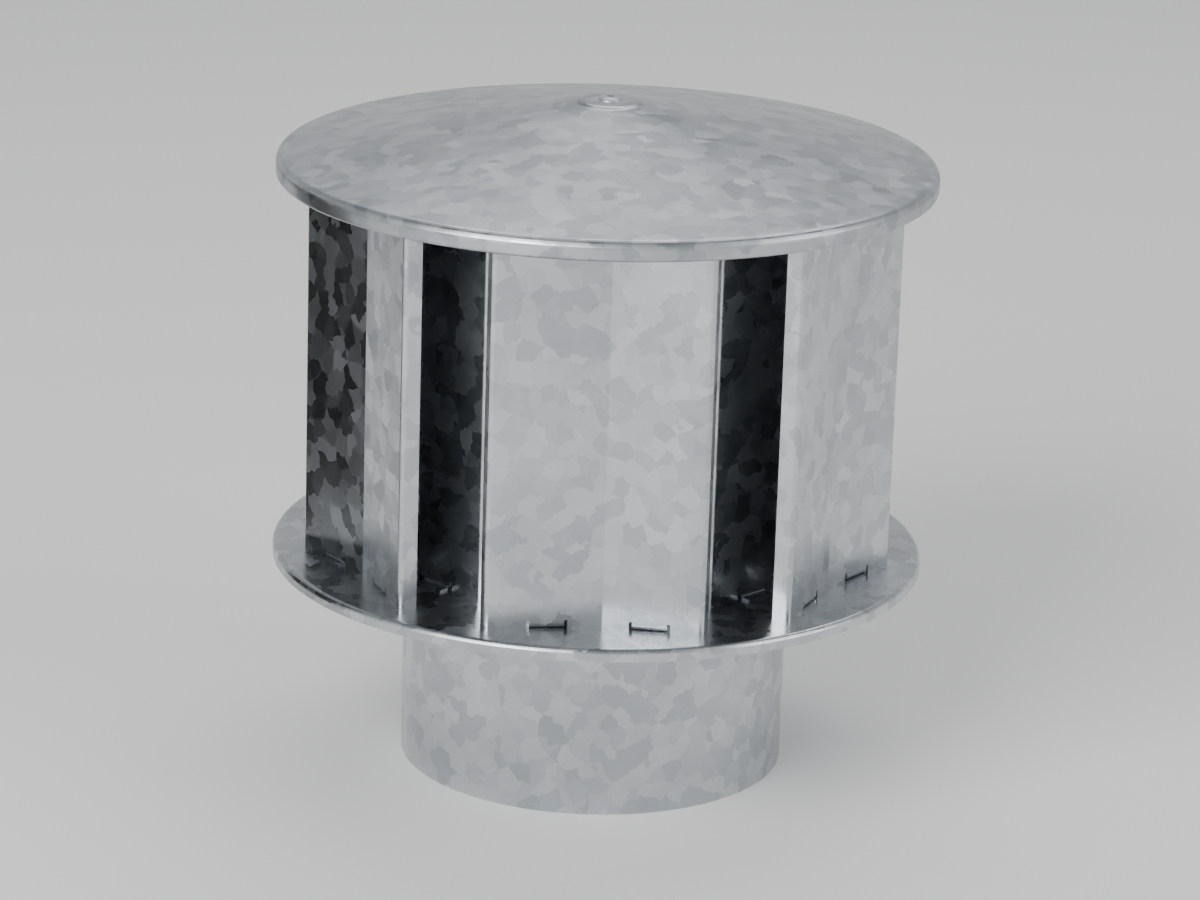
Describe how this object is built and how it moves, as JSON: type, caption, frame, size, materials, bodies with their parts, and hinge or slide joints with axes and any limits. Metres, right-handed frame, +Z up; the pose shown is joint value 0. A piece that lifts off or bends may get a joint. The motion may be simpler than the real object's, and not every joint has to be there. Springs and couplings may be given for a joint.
{
  "type": "vent cap",
  "caption": "Round flue vent cap of galvanised sheet: a cone and a base ring hold staggered folded baffles above a plain slip-on collar.",
  "frame": {"origin": "centre of the collar's lower edge", "axes": "+Z up along the flue's axis, -Y the front, where the middle of an outer baffle faces"},
  "size_m": [0.1746, 0.1746, 0.1816],
  "materials": {
    "galvanised_cap": "spangled galvanised sheet, lightly weathered",
    "galvanised_outer_baffle": "spangled galvanised sheet, semi-gloss",
    "galvanised_inner_baffle": "spangled galvanised sheet, semi-gloss",
    "galvanised_ring": "spangled galvanised sheet, semi-gloss",
    "galvanised_collar": "spangled galvanised sheet, semi-gloss",
    "rivet_steel": "zinc-plated steel, satin"
  },
  "bodies": {
    "root": {"cap_top": "galvanised_cap", "apex_rivet": "rivet_steel", "outer_baffle_1": "galvanised_outer_baffle", "outer_baffle_2": "galvanised_outer_baffle", "outer_baffle_3": "galvanised_outer_baffle", "outer_baffle_4": "galvanised_outer_baffle", "outer_baffle_5": "galvanised_outer_baffle", "outer_baffle_6": "galvanised_outer_baffle", "inner_baffle_1": "galvanised_inner_baffle", "inner_baffle_2": "galvanised_inner_baffle", "inner_baffle_3": "galvanised_inner_baffle", "inner_baffle_4": "galvanised_inner_baffle", "inner_baffle_5": "galvanised_inner_baffle", "inner_baffle_6": "galvanised_inner_baffle", "base_ring": "galvanised_ring", "collar": "galvanised_collar"}
  },
  "joints": []
}
